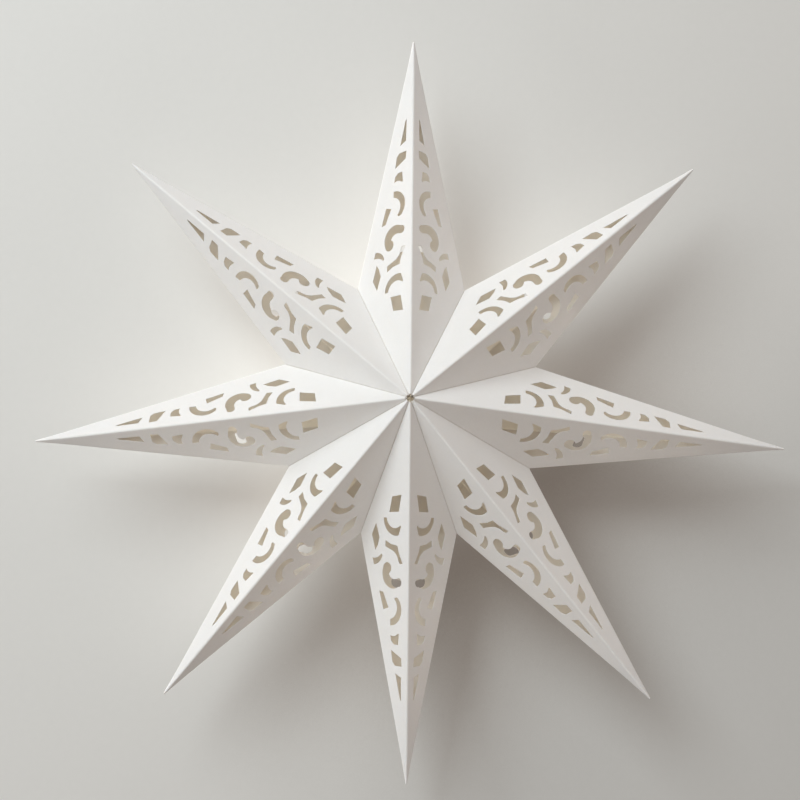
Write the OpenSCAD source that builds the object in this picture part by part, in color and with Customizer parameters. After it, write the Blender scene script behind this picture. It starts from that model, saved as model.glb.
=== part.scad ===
// Hanging eight-point paper star. Each point is one card, folded into a hollow
// pyramid with four facets, and glued by its flanges to the points beside it.
// The front faces -Y, +Z is up, and the origin is the star's centre.

/* [Star] */
// Height of the star, from the top tip to the bottom tip
star_height = 600; // [540:1:900]
// Distance of a notch corner from the centre, in percent of the tip's distance
notch_percent = 35.7; // [33:0.1:40]
// Height of the front and back apexes, in percent of the tip's distance
apex_percent = 21; // [17:0.1:27]

/* [Opening] */
// Bearing of the notch between the top point and the upper point, from straight up
upper_notch = 23.7; // [21:0.1:26]
// Bearing of the upper point's tip (45 on an evenly opened star)
upper_tip = 48.7; // [45:0.1:51]
// Bearing of the notch between the upper point and the side point
side_upper_notch = 70.2; // [67:0.1:73]
// Bearing of the side point's tip (90 on an evenly opened star)
side_tip = 95.4; // [90:0.1:97]
// Bearing of the notch between the side point and the lower point
side_lower_notch = 115.7; // [112:0.1:118]
// Bearing of the lower point's tip (135 on an evenly opened star)
lower_tip = 140; // [135:0.1:143]
// Bearing of the notch between the lower point and the bottom point
lower_notch = 158.9; // [156:0.1:161]

/* [Card] */
// Thickness of the card
card = 0.5; // [0.3:0.05:1]
// Width of the glue flanges that turn inward along the seams
flange_w = 11; // [6:0.5:14]
// Length cut off each sharp tip
tip_blunt = 3; // [1:0.5:6]
// Width of the diamond hole where the points' ends meet, at the front and the back
hole_w = 8; // [6:0.1:12]
// Height of the same hole
hole_h = 6.6; // [5:0.1:12]

/* [Cut-outs] */
// Size of the cut-out pattern, in percent of its size on this star
pattern_percent = 100; // [80:1:104]
// Shift of the whole pattern along the fold, away from the apex
pattern_shift = 0; // [-15:0.5:8]
// Width of the window nearest the apex, along the fold
window_w = 13.6; // [6:0.1:14.5]
// Width of the window nearest the apex, across the fold
window_h = 11; // [6:0.1:12]
// Widest part of the big kidney cut-out
kidney_w = 5.1; // [3:0.1:6.5]
// Width of the hook-shaped cut-out
hook_w = 3.6; // [2:0.1:5]
// Width of the crescent cut-out
crescent_w = 4.2; // [2.5:0.1:5.5]
// Width of the fork's arm where it ends, next to the fold
fork_arm = 3.8; // [2:0.1:4.5]
// Length of the leaf cut-out
leaf_l = 22; // [12:0.1:24]
// Length of the dart cut-out nearest the tip
dart_l = 18.9; // [8:0.1:22]
// Width of the slot in each back facet
slot_w = 7.4; // [4:0.1:9]
// Length of the slot in each back facet, across the card
slot_l = 17.6; // [10:0.1:20]

/* [Hidden] */
$fn = 64;

reach = star_height / 2;
notch_r = reach * notch_percent / 100;
apex_y = reach * apex_percent / 100;
// The cut-outs are drawn for a star of this height and scaled to the star's own
drawn_for = 600;
pattern_scale = star_height / drawn_for * pattern_percent / 100;
// How far the cutting shapes reach past the card, and past the axis
clear = 1;

function unit(v) = v / norm(v);
// A real measure, as it is before the drawing is scaled
function drawn(size) = size / pattern_scale;
// A place in the star's middle plane, from its bearing and its distance
function spot(bearing, r) = [r * sin(bearing), 0, r * cos(bearing)];

// The facet's own frame: X runs along the fold from the apex to the tip, Y across
// the card toward the notch, and the facet is the plane Z = 0
module on_facet(apex, tip, notch) {
    x = unit(tip - apex);
    z = unit(cross(x, notch - apex));
    y = cross(z, x);
    multmatrix([[x[0], y[0], z[0], apex[0]],
                [x[1], y[1], z[1], apex[1]],
                [x[2], y[2], z[2], apex[2]],
                [0, 0, 0, 1]])
        children();
}

// Which way the star's centre lies in the facet's frame: 1 for +Z, -1 for -Z
function inward(apex, tip, notch) = sign(-cross(tip - apex, notch - apex) * apex);

// Everything that lies deeper than depth behind the facet's plane
module behind(apex, tip, notch, depth) {
    side = inward(apex, tip, notch);
    on_facet(apex, tip, notch)
        translate([-reach, -reach, side > 0 ? depth : -depth - reach])
            cube([3 * reach, 2 * reach, reach]);
}

// The sector between two bearings, cut off square at both ends of the depth
module sector(from, to) {
    rotate([90, 0, 0])
        linear_extrude(height = 3 * apex_y, center = true)
            polygon([[0, 0],
                     [2 * reach * sin(from), 2 * reach * cos(from)],
                     [2 * reach * sin(to), 2 * reach * cos(to)]]);
}

// The pyramid inside the four facet planes, all moved in by depth
module pyramid(tip_b, from, to, depth) {
    tip = spot(tip_b, reach + tip_blunt);
    intersection_for (apex = [[0, -apex_y, 0], [0, apex_y, 0]])
        intersection_for (notch_b = [from, to])
            behind(apex, tip, spot(notch_b, notch_r), depth);
}

// Window nearest the apex, a slanted four-sided hole
module window() {
    along = drawn(window_w);
    across = drawn(window_h);
    translate([77.3, 9.2])
        polygon([[0, 0], [along, 3], [along + 0.9, across + 3.2], [1.9, across]]);
}

// Crescent that ends in a point beside the fold
module crescent() {
    intersection() {
        difference() {
            translate([96.7, 16.2]) circle(r = 13.6);
            translate([94.9, 17]) circle(r = 13.6 - drawn(crescent_w));
        }
        polygon([[100.2, 11.8], [102.7, 9.5], [114.9, 14.3], [114.9, 30], [96.3, 34], [96.3, 22]]);
    }
}

// Fork with a short stem and one long arm that runs to the fold
module fork() {
    arm = drawn(fork_arm);
    difference() {
        polygon([[114.2, 27.5], [119.2, 27.7], [122.8, 17.8], [132.6, 7.2 + arm],
                 [131.9, 7.2], [123.7, 12], [118.1, 13.8], [117.1, 21.2]]);
        translate([132.3, 23]) circle(r = 10.6);
    }
}

// Kidney: a band bent round, wider at the outer end, with both ends rounded
module kidney() {
    difference() {
        intersection() {
            translate([140.4, 18.7]) circle(r = 12);
            polygon([[140.4, 18.7], [147.4, 8.9], [160, 6], [160, 36], [136.3, 36], [136.3, 25]]);
        }
        translate([137.9, 17]) circle(r = 12 - drawn(kidney_w));
    }
    translate([147.3, 11.9]) circle(r = 3.4);
    translate([136.3, 25.2]) circle(r = 4.6);
}

// Small claw beside the leaf
module claw() {
    intersection() {
        difference() {
            translate([124.2, 40.5]) circle(r = 9.9);
            translate([117.5, 40.7]) circle(r = 11.5);
        }
        polygon([[125.4, 31.6], [128, 29], [139, 32], [135.1, 40.1], [128.7, 42.2], [125.4, 38]]);
    }
}

// Leaf, pointed at both ends
module leaf() {
    along = drawn(leaf_l);
    translate([101, 38.6])
        polygon([[0, 0], [along * 0.34, -2.8], [along * 0.52, -4.2],
                 [along * 0.82, -2.1], [along, 0.5], [along * 0.42, 4.6]]);
}

// Hook: a band bent over, open toward the outer edge
module hook() {
    intersection() {
        difference() {
            translate([169.3, 20.5]) circle(r = 12.5);
            translate([167.7, 22.2]) circle(r = 12.5 - drawn(hook_w));
        }
        polygon([[159.3, 15.8], [159.3, 5], [190, 5], [190, 20.9], [168, 20.9]]);
    }
}

// Short bar outside the hook
module bar() {
    polygon([[155.4, 29.5], [167.6, 23.1], [169.3, 28.9], [154.7, 33.9]]);
}

// Small cup with a hollow back
module cup() {
    difference() {
        polygon([[188, 10.5], [196.8, 11.5], [196.6, 16.5], [193.9, 19.5], [187.8, 20.7]]);
        translate([182, 17.2]) circle(r = 8);
    }
}

// Blade with a slanted back
module blade() {
    polygon([[207.2, 7.6], [213.8, 6.9], [213.4, 15], [210.5, 17.8], [201.1, 19.5]]);
}

// Dart that points at the tip
module dart() {
    along = drawn(dart_l);
    translate([222.6, 7.5])
        polygon([[0, 0], [along, -0.3], [along - 1.9, 1.1], [-3.1, 6.7]]);
}

// Slot of a back facet, with round ends, one of them beside the fold
module slot() {
    wide = drawn(slot_w);
    straight = drawn(slot_l) - wide;
    translate([141.5, 2.6 + wide / 2]) {
        circle(d = wide);
        translate([-wide / 2, 0]) square([wide, straight]);
        translate([0, straight]) circle(d = wide);
    }
}

// The cut-outs of one front facet, in the facet's frame
module front_pattern() {
    window();
    crescent();
    fork();
    kidney();
    claw();
    leaf();
    hook();
    bar();
    cup();
    blade();
    dart();
}

// Cuts drawn for the facet's frame, scaled to the star and run through the card
module cut_facet(apex, tip, notch) {
    on_facet(apex, tip, notch)
        translate([pattern_shift, 0, inward(apex, tip, notch) * card / 2])
            linear_extrude(height = card + 2 * clear, center = true)
                scale([pattern_scale, pattern_scale])
                    children();
}

// The space inside the glue flanges, seen square to the seam's plane
module flange_window(notch_b) {
    seam = sqrt(apex_y * apex_y + notch_r * notch_r);
    inner_y = apex_y - flange_w * seam / notch_r;
    inner_r = notch_r - flange_w * seam / apex_y;
    rotate([0, notch_b - 90, 0])
        linear_extrude(height = 2 * (card + clear), center = true)
            polygon([[-clear, -inner_y], [0, -inner_y], [inner_r, 0], [0, inner_y], [-clear, inner_y]]);
}

// Diamond hole through the star's centre, which cuts off the points' ends there
module centre_hole() {
    rotate([90, 0, 0])
        linear_extrude(height = 3 * apex_y, center = true)
            polygon([[hole_w / 2, 0], [0, hole_h / 2], [-hole_w / 2, 0], [0, -hole_h / 2]]);
}

// One point of the star: tip_b is its tip's bearing, from and to its notches'
module star_point(tip_b, from, to) {
    tip = spot(tip_b, reach + tip_blunt);
    middle = (from + to) / 2;
    // Moving the sector this far along its middle sets both its sides in by one card
    inset = card / sin((to - from) / 2);
    color("white")
        difference() {
            intersection() {
                pyramid(tip_b, from, to, 0);
                sector(from, to);
            }
            intersection() {
                pyramid(tip_b, from, to, card);
                translate(spot(middle, inset)) sector(from, to);
            }
            for (notch_b = [from, to]) {
                flange_window(notch_b);
                notch = spot(notch_b, notch_r);
                cut_facet([0, -apex_y, 0], tip, notch) front_pattern();
                cut_facet([0, apex_y, 0], tip, notch) slot();
            }
            centre_hole();
            // The tip is cut off square
            rotate([0, tip_b, 0])
                translate([-reach / 2, -reach / 2, reach])
                    cube(reach);
        }
}

module point_top() star_point(0, -upper_notch, upper_notch);
module point_upper_right() star_point(upper_tip, upper_notch, side_upper_notch);
module point_right() star_point(side_tip, side_upper_notch, side_lower_notch);
module point_lower_right() star_point(lower_tip, side_lower_notch, lower_notch);
module point_bottom() star_point(180, lower_notch, 360 - lower_notch);
module point_lower_left() star_point(-lower_tip, -lower_notch, -side_lower_notch);
module point_left() star_point(-side_tip, -side_lower_notch, -side_upper_notch);
module point_upper_left() star_point(-upper_tip, -side_upper_notch, -upper_notch);

point_top();
point_upper_right();
point_right();
point_lower_right();
point_bottom();
point_lower_left();
point_left();
point_upper_left();
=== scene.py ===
import math

import bmesh
import bpy
from mathutils import Matrix, Vector, noise


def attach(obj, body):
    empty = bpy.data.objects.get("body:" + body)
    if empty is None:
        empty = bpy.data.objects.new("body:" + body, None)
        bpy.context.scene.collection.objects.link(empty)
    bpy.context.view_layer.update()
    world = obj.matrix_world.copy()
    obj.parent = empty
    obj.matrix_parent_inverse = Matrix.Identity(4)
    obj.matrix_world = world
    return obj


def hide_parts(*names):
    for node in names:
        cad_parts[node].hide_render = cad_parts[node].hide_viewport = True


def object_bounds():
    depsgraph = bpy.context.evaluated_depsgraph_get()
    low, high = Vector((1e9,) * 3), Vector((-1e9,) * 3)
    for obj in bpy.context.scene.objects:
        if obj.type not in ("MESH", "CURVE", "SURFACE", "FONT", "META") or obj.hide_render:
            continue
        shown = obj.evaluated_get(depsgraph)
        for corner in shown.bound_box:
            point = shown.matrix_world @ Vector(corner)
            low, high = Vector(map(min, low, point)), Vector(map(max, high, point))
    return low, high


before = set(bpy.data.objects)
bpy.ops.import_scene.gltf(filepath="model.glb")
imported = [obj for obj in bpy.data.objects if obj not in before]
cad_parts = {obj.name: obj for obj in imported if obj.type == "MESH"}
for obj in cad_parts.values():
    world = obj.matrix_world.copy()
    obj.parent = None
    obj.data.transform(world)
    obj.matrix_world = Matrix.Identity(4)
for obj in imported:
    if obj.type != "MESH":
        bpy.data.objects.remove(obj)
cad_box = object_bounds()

MM = 0.001
scene = bpy.context.scene

# Camera
# The photograph looks up at the star from about six metres away, a little below
# its centre, through a long lens, with the star's front square to the view.
star_low, star_high = cad_box
reach = (star_high.z - star_low.z) / 2
camera_distance = 20 * reach
camera_elevation = math.radians(-9.10)
camera_azimuth = math.radians(-0.05)
camera_roll = math.radians(0.59)
aim_right = -7.93 * MM
aim_up = 8.12 * MM

back = Vector((math.sin(camera_azimuth) * math.cos(camera_elevation),
               -math.cos(camera_azimuth) * math.cos(camera_elevation),
               math.sin(camera_elevation)))
level = Vector((math.cos(camera_azimuth), math.sin(camera_azimuth), 0))
upright = back.cross(level)
right = level * math.cos(camera_roll) + upright * math.sin(camera_roll)
up = upright * math.cos(camera_roll) - level * math.sin(camera_roll)
camera_place = right * aim_right + up * aim_up + back * camera_distance

lens = bpy.data.cameras.new("camera")
lens.sensor_width = 36     # millimetres, as the focal length is
lens.lens = 338.1
lens.clip_start = 0.1
lens.clip_end = 60
camera = bpy.data.objects.new("camera", lens)
axes = Matrix((right, up, back)).transposed()
camera.matrix_world = Matrix.Translation(camera_place) @ axes.to_4x4()
scene.collection.objects.link(camera)
scene.camera = camera


# Card stock
# The star is made of one kind of heavy uncoated white card. It is matt with a fine
# felt tooth, and thin enough to let a little light through, which turns warm inside.
# Its inside is painted paler and warmer than its outside, a painted glow standing in
# for the warm light that bounces inside the star, and each fold carries a painted highlight.
class Socket:
    """A node's output. Sums and products of sockets and numbers add Math nodes."""

    def __init__(self, paint, output):
        self.paint = paint
        self.output = output

    def maths(self, operation, first, second):
        return self.paint.node("ShaderNodeMath", {"operation": operation}, {0: first, 1: second})

    def __add__(self, other):
        return self.maths("ADD", self, other)

    def __sub__(self, other):
        return self.maths("SUBTRACT", self, other)

    def __rsub__(self, other):
        return self.maths("SUBTRACT", other, self)

    def __mul__(self, other):
        return self.maths("MULTIPLY", self, other)

    __radd__ = __add__
    __rmul__ = __mul__


class Paint:
    """One material and its node tree."""

    def __init__(self, name):
        self.material = bpy.data.materials.new(name)
        self.material.use_nodes = True
        self.tree = self.material.node_tree
        self.shader = self.tree.nodes["Principled BSDF"]
        self.place = self.node("ShaderNodeTexCoord", {}, {}, "Object")

    def node(self, kind, settings, sockets, output=0):
        made = self.tree.nodes.new(kind)
        for name, value in settings.items():
            setattr(made, name, value)
        for name, value in sockets.items():
            self.feed(made.inputs[name], value)
        return Socket(self, made.outputs[output])

    def feed(self, socket, value):
        if isinstance(value, Socket):
            self.tree.links.new(value.output, socket)
        else:
            socket.default_value = value

    def noise(self, size, detail=2.0, roughness=0.5):
        """A soft noise from 0 to 1, with features of this size in metres."""
        return self.node("ShaderNodeTexNoise", {}, {"Vector": self.place, "Scale": 1 / size,
                                                    "Detail": detail, "Roughness": roughness})

    def spread(self, value, low, high, to_low=0.0, to_high=1.0, smooth=False):
        """The value, with low to high stretched to to_low to to_high and cut off there."""
        kind = "SMOOTHSTEP" if smooth else "LINEAR"
        return self.node("ShaderNodeMapRange", {"interpolation_type": kind},
                         {"Value": value, "From Min": low, "From Max": high,
                          "To Min": to_low, "To Max": to_high})

    def mix(self, share, first, second):
        """Between two colours."""
        return self.node("ShaderNodeMix", {"data_type": "RGBA"}, {0: share, 6: first, 7: second}, 2)

    def attribute(self, name):
        return self.node("ShaderNodeAttribute", {"attribute_name": name}, {}, "Fac")

    def bump(self, height, distance, strength):
        return self.node("ShaderNodeBump", {},
                         {"Height": height, "Distance": distance, "Strength": strength})


def card_stock(name, pale, deep, crease_highlight):
    """Card of one tone: pale and deep are its cloudy extremes, crease_highlight the tone painted
    along a crease, a painted highlight where the rounded fold would catch the light.
    """
    glue_line_and_shade = (0.60, 0.52, 0.44, 1)
    paint = Paint(name)
    cloud = paint.noise(26 * MM, 3, 0.55)
    felt = paint.noise(2.4 * MM, 3, 0.6)
    tooth = paint.noise(0.7 * MM, 2, 0.7)
    crease = paint.attribute("crease")
    seam = paint.attribute("seam")
    mottle = paint.spread(cloud, 0.3, 0.7) * 0.6 + paint.spread(felt, 0.3, 0.7) * 0.4
    tone = paint.mix(mottle, deep, pale)
    # Painted highlight: the card is painted in its crease tone along every fold and seam, where a
    # rounded fold would catch the light.
    tone = paint.mix(crease * 0.7, tone, crease_highlight)
    # The seams are painted darker. This is partly the brown glue line and gap between the flanges,
    # and partly painted shade in the groove where two points meet.
    tone = paint.mix(seam * 0.28, tone, glue_line_and_shade)
    roughness = paint.spread(felt - crease * 0.5, 0.0, 0.8, 0.64, 0.88)
    grain = paint.bump(felt * 0.65 + tooth * 0.35, 0.2 * MM, 0.7)
    sockets = paint.shader.inputs
    paint.feed(sockets["Base Color"], tone)
    paint.feed(sockets["Roughness"], roughness)
    paint.feed(sockets["Normal"], grain)
    sockets["Specular IOR Level"].default_value = 0.3
    sockets["Subsurface Weight"].default_value = 1.0
    sockets["Subsurface Radius"].default_value = (1.0, 0.97, 0.93)
    sockets["Subsurface Scale"].default_value = 0.7 * MM
    return paint.material


outside = card_stock("card_outside", pale=(0.905, 0.90, 0.885, 1),
                     deep=(0.875, 0.868, 0.85, 1), crease_highlight=(0.93, 0.93, 0.92, 1))
# Painted glow: the inside is given a paler, warmer tone than the outside, standing in for the warm
# light that bounces inside the star.
inside = card_stock("card_inside", pale=(0.965, 0.915, 0.855, 1),
                    deep=(0.95, 0.895, 0.83, 1), crease_highlight=(0.955, 0.905, 0.845, 1))
cut_edge = card_stock("card_cut_edge", pale=(0.91, 0.90, 0.88, 1),
                      deep=(0.88, 0.865, 0.84, 1), crease_highlight=(0.91, 0.90, 0.88, 1))

# The eight points
# Each point is one sheet of card. Its cut-outs are punched flat, then the front and
# back ridges and the two side edges are scored and folded, and four narrow flanges
# are turned in and glued to the flanges of the points beside it.
notch_r = 0.357 * reach    # from the star's axis to the notches between the points
apex_y = 0.21 * reach      # how far the middle stands out to the front and to the back
tip_r = reach + 3 * MM     # to where a point would end if its tip weren't cut off
card = 0.5 * MM
flat = 0.004 * MM          # how far a vertex of a panel may be from its plane
weld = 0.002 * MM
upper_notch = 23.7         # bearings in degrees, clockwise from straight up
upper_tip = 48.7
side_upper_notch = 70.2
side_tip = 95.4
side_lower_notch = 115.7
lower_tip = 140.0
lower_notch = 158.9
bearings = {
    "top": (0, -upper_notch, upper_notch),
    "upper_right": (upper_tip, upper_notch, side_upper_notch),
    "right": (side_tip, side_upper_notch, side_lower_notch),
    "lower_right": (lower_tip, side_lower_notch, lower_notch),
    "bottom": (180, lower_notch, 360 - lower_notch),
    "lower_left": (-lower_tip, -lower_notch, -side_lower_notch),
    "left": (-side_tip, -side_lower_notch, -side_upper_notch),
    "upper_left": (-upper_tip, -side_upper_notch, -upper_notch),
}
grid = 4.2 * MM            # spacing of the mesh over a facet
fold_reach = 1.4 * MM      # how far a scored fold's round stretches into a facet
seam_reach = 0.5 * MM      # the same where a flange turns in
fold_rings = (0.4 * MM, 0.9 * MM, 1.4 * MM, 1.9 * MM)
seam_rings = (0.2 * MM, 0.5 * MM, 0.9 * MM)
tip_zone = 12 * MM         # where a facet is too narrow for the rings
widest = 70 * MM           # no facet is wider than this
glue_gap = 0.03 * MM       # half of the glue line between two flanges
sway = 0.55 * MM           # how far a facet is from flat
long_waves = 14            # to the metre, over a facet
short_waves = 33
stiff = 16 * MM            # how far a fold keeps a facet from swaying
slack = 0.5 * MM           # how far a flange stands off its neighbour
slack_waves = 40
crease_width = 1.5 * MM
seam_width = 0.8 * MM
end_zone = 6 * MM          # where the ends of the card draw back around the centre
draw_back = 1.1 * MM


def spot(bearing, r, y=0.0):
    """A place from its bearing, clockwise from straight up, and its distance."""
    turn = math.radians(bearing)
    return Vector((r * math.sin(turn), y, r * math.cos(turn)))


def ease(x):
    x = min(max(x, 0.0), 1.0)
    return x * x * (3 - 2 * x)


class Panel:
    """One flat panel of a card, between three corners, and the folds along its sides."""

    def __init__(self, corners, outward):
        first, second, third = corners
        self.corner = first
        self.middle = (first + second + third) / 3
        self.normal = (second - first).cross(third - first).normalized()
        if self.normal.dot(outward) < 0:
            self.normal.negate()
        self.folds = []

    def holds(self, face):
        return all(abs((v.co - self.corner).dot(self.normal)) < flat for v in face.verts)

    def across(self, start, end):
        """The direction into the panel, square to the line from start to end."""
        way = self.normal.cross(end - start).normalized()
        return way if way.dot(self.middle - start) > 0 else -way

    def fold(self, start, end, neighbour, seam):
        half = self.normal.angle(neighbour.normal) / 2
        self.folds.append((start, self.across(start, end), half, seam))


def panels_of(tip_bearing, notch_bearings):
    """The four facets and the two pairs of flanges of one point, with their folds."""
    tip = spot(tip_bearing, tip_r)
    axis = spot(tip_bearing, 1)
    apexes = [Vector((0, -apex_y, 0)), Vector((0, apex_y, 0))]
    notches = [spot(b, notch_r) for b in notch_bearings]
    facets = {(i, j): Panel((apex, tip, notch), apex + notch)
              for i, apex in enumerate(apexes) for j, notch in enumerate(notches)}
    flanges = [Panel((apexes[0], notch, apexes[1]), notch - axis) for notch in notches]
    for (i, j), facet in facets.items():
        facet.fold(apexes[i], tip, facets[i, 1 - j], False)
        facet.fold(notches[j], tip, facets[1 - i, j], False)
        facet.fold(apexes[i], notches[j], flanges[j], True)
        flanges[j].fold(apexes[i], notches[j], facet, True)
    return list(facets.values()), flanges, axis


def cut(sheet, faces, place, normal):
    edges = {edge for face in faces for edge in face.edges}
    verts = {vert for face in faces for vert in face.verts}
    bmesh.ops.bisect_plane(sheet, geom=[*faces, *edges, *verts], dist=weld,
                           plane_co=place, plane_no=normal)


def outer_sheet(node, panels):
    """The outer side of the card, from a copy of its solid, with each face's panel number."""
    sheet = bmesh.new()
    sheet.from_mesh(node.data)
    bmesh.ops.remove_doubles(sheet, verts=sheet.verts, dist=1e-6)
    number = sheet.faces.layers.int.new("panel")
    others = []
    for face in sheet.faces:
        found = [i for i, panel in enumerate(panels) if panel.holds(face)]
        face[number] = found[0] if found else -1
        if not found:
            others.append(face)
    bmesh.ops.delete(sheet, geom=others, context="FACES")
    bmesh.ops.dissolve_limit(sheet, angle_limit=0.002, verts=sheet.verts, edges=sheet.edges,
                             delimit={"NORMAL"})
    return sheet


def divide(sheet, facets, flanges, axis):
    """Cuts the sheet into small faces: a grid all over, and close rings along the folds."""
    number = sheet.faces.layers.int["panel"]

    def faces_of(index, low=-reach, high=2 * reach):
        """The faces of one panel whose middle is between two distances along the point."""
        return [face for face in sheet.faces if face[number] == index
                and low < face.calc_center_median().dot(axis) < high]

    tip_start = tip_r - tip_zone
    for i in range(1, int(reach / grid) + 1):
        cut(sheet, sheet.faces, axis * grid * i, axis)
    for index, panel in enumerate(facets + flanges):
        if index < len(facets):
            (_, ridge, _, _), (_, side, _, _), _ = panel.folds
            for share in (0.3, 0.7):
                across_tip = ridge.lerp(-side, share)
                cut(sheet, faces_of(index, low=tip_start), axis * tip_r, across_tip)
        for start, into, _, glued in panel.folds:
            for ring in seam_rings if glued else fold_rings:
                cut(sheet, faces_of(index, high=tip_start), start + into * ring, into)
        if index < len(facets):
            start, into, _, _ = panel.folds[0]
            for i in range(1, int(widest / grid)):
                cut(sheet, faces_of(index), start + into * grid * i, into)


def form(sheet, panels, facet_count, axis, seed):
    """Rounds the folds, sets the seams back and lets the flat panels sway a little."""
    number = sheet.faces.layers.int["panel"]
    crease_layer = sheet.verts.layers.float.new("crease")
    seam_layer = sheet.verts.layers.float.new("seam")
    shift = Vector((seed * 3.7, seed * 1.3, seed * 2.1))
    moves = {}
    for vert in sheet.verts:
        index = min(f[number] for f in vert.link_faces)
        panel = panels[index]
        r = vert.co.dot(axis)
        move = Vector()
        calm = 1.0
        crease = seam = 0.0
        for start, into, half, glued in panel.folds:
            away = max((vert.co - start).dot(into), 0.0)
            # The round narrows towards the tip and the centre, with the facet.
            bend = min(seam_reach if glued else fold_reach, 0.055 * (tip_r - r), 0.12 * r)
            if away < bend:
                radius = bend / math.tan(half)
                turn = (1 - away / bend) * half
                move += into * (bend - radius * math.sin(turn) - away)
                move -= panel.normal * radius * (1 - math.cos(turn))
            calm *= ease(away / stiff)
            crease = max(crease, 1 - away / crease_width)
            if glued:
                seam = max(seam, 1 - away / seam_width)
                if index < facet_count:
                    move += into * glue_gap * ease(1 - away / (4 * MM))
        if index < facet_count:
            wave = noise.noise(vert.co * long_waves + shift)
            wave += 0.45 * noise.noise(vert.co * short_waves + shift)
            move += panel.normal * sway * calm * (wave - 0.35)
            if r < end_zone:
                along = (axis - panel.normal * axis.dot(panel.normal)).normalized()
                move += along * draw_back * (1 - r / end_zone)
        else:
            move -= panel.normal * glue_gap
            from_fold = min((vert.co - start).dot(into) for start, into, _, _ in panel.folds)
            wave = abs(noise.noise(vert.co * slack_waves + shift))
            move -= panel.normal * slack * wave * ease(from_fold / (8 * MM))
        vert[crease_layer] = max(crease, 0.0)
        vert[seam_layer] = max(seam, 0.0)
        moves[vert] = move
    for vert, move in moves.items():
        vert.co += move


for seed, (side, (tip_bearing, *notch_bearings)) in enumerate(bearings.items()):
    node_name = "point_" + side
    facets, flanges, axis = panels_of(tip_bearing, notch_bearings)
    sheet = outer_sheet(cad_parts[node_name], facets + flanges)
    divide(sheet, facets, flanges, axis)
    form(sheet, facets + flanges, len(facets), axis, seed + 1)
    for face in sheet.faces:
        face.smooth = True
    for edge in sheet.edges:
        edge.smooth = not edge.is_boundary
    mesh = bpy.data.meshes.new("card_" + side)
    sheet.to_mesh(mesh)
    sheet.free()
    piece = bpy.data.objects.new("card_" + side, mesh)
    scene.collection.objects.link(piece)
    for stock in (outside, inside, cut_edge):
        mesh.materials.append(stock)
    wall = piece.modifiers.new("card_thickness", "SOLIDIFY")
    wall.thickness = card
    wall.offset = -1
    wall.material_offset = 1
    wall.material_offset_rim = 2
    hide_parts(node_name)
    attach(piece, "root")

# Light
# A large soft key light stands to the upper left in front and a dim one to the lower
# left. A third shines through the card from behind, and a pale room lights the rest.
scene.view_settings.view_transform = "Standard"
scene.cycles.diffuse_bounces = 8
room = bpy.data.worlds.new("room")
room.use_nodes = True
room_light = room.node_tree.nodes["Background"].inputs
room_light["Color"].default_value = (1.0, 0.90, 0.835, 1)
room_light["Strength"].default_value = 0.47
scene.world = room


def soft_light(name, direction, distance, size, power, colour):
    place = Vector(direction) * distance
    turn = place.to_track_quat("Z", "Y").to_matrix().to_4x4()
    lamp = bpy.data.lights.new(name, "AREA")
    lamp.shape = "SQUARE"
    lamp.size = size
    lamp.energy = power
    lamp.color = colour
    light = bpy.data.objects.new(name, lamp)
    light.matrix_world = Matrix.Translation(place) @ turn
    scene.collection.objects.link(light)


soft_light("key", (-0.49, -0.70, 0.52), 2.1, 1.3, 27.5, (0.89, 0.97, 1.0))
soft_light("low_fill", (-0.85, -0.2, -0.5), 2.2, 1.4, 4.6, (0.88, 0.97, 1.0))
soft_light("rear_fill", (-0.53, 0.71, 0.46), 2.6, 1.6, 66, (1.0, 0.96, 0.91))

# Floor and wall
# A plain pale floor lies far below, and the star hangs flat against a wall with
# painted shade: it is painted darker away from the key light, and darker still in the
# nooks close to the star on that side. It is clear from behind, and it throws
# neither light nor shadow on the star.
floor_z = -9.0
floor_size = 40
wall_y = star_high.y + 3 * MM
wall_size = 20


def flat_sheet(name, size, turn, place, paint):
    shape = bmesh.new()
    bmesh.ops.create_grid(shape, x_segments=1, y_segments=1, size=size / 2)
    bmesh.ops.transform(shape, matrix=Matrix.Translation(place) @ turn, verts=shape.verts)
    mesh = bpy.data.meshes.new(name)
    shape.to_mesh(mesh)
    shape.free()
    mesh.materials.append(paint.material)
    sheet = bpy.data.objects.new(name, mesh)
    scene.collection.objects.link(sheet)
    return sheet


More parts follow.
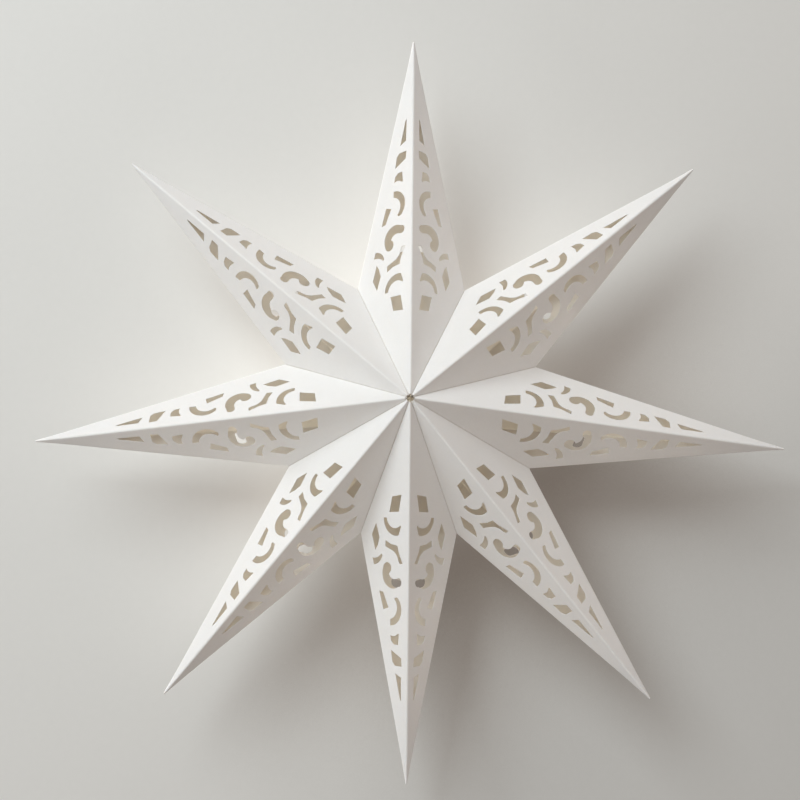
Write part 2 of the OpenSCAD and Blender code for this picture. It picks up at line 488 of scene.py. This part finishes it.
screed = Paint("pale_floor")
screed_cloud = screed.noise(0.8, 3)
screed_tone = screed.mix(screed_cloud, (0.60, 0.59, 0.57, 1), (0.66, 0.65, 0.63, 1))
screed.feed(screed.shader.inputs["Base Color"], screed_tone)
screed.shader.inputs["Roughness"].default_value = 0.9
flat_sheet("floor", floor_size, Matrix.Identity(4), Vector((0, 0, floor_z)), screed)

emulsion = Paint("pale_wall")
wall_cloud = emulsion.noise(0.09, 3) * 0.5 + emulsion.noise(6 * MM, 2) * 0.5
wall_tone = emulsion.mix(wall_cloud, (0.72, 0.72, 0.70, 1), (0.76, 0.76, 0.74, 1))
rightward = emulsion.node("ShaderNodeSeparateXYZ", {}, {"Vector": emulsion.place}, "X")
upward = emulsion.node("ShaderNodeSeparateXYZ", {}, {"Vector": emulsion.place}, "Z")
from_light = (rightward - upward) * 0.7
# Painted shade: where the star crowds the wall on the side away from the key light, the wall is
# painted darker, like a cast shadow.
nook = emulsion.node("ShaderNodeAmbientOcclusion", {"samples": 12}, {"Distance": 0.22}, "AO")
painted_nook_shade = emulsion.spread(nook, 0.95, 0.35)
shaded_side = emulsion.spread(from_light, -0.02, 0.12, smooth=True)
wall_tone = emulsion.mix(painted_nook_shade * shaded_side, wall_tone, (0.34, 0.31, 0.285, 1))
# Painted shade: the wall is painted darker still towards the lower right, away from the key light.
painted_falloff = emulsion.spread(from_light, 0.10, 0.30, to_high=0.16, smooth=True)
wall_tone = emulsion.mix(painted_falloff, wall_tone, (0, 0, 0, 1))
emulsion.feed(emulsion.shader.inputs["Base Color"], wall_tone)
emulsion.shader.inputs["Roughness"].default_value = 0.95
emulsion.shader.inputs["Specular IOR Level"].default_value = 0.1
from_behind = emulsion.node("ShaderNodeNewGeometry", {}, {}, "Backfacing")
emulsion.feed(emulsion.shader.inputs["Alpha"], 1 - from_behind)
upended = Matrix.Rotation(math.radians(90), 4, "X")
backdrop = flat_sheet("wall", wall_size, upended, Vector((0, wall_y, 0)), emulsion)
backdrop.visible_diffuse = False
backdrop.visible_glossy = False
backdrop.visible_transmission = False
backdrop.visible_shadow = False
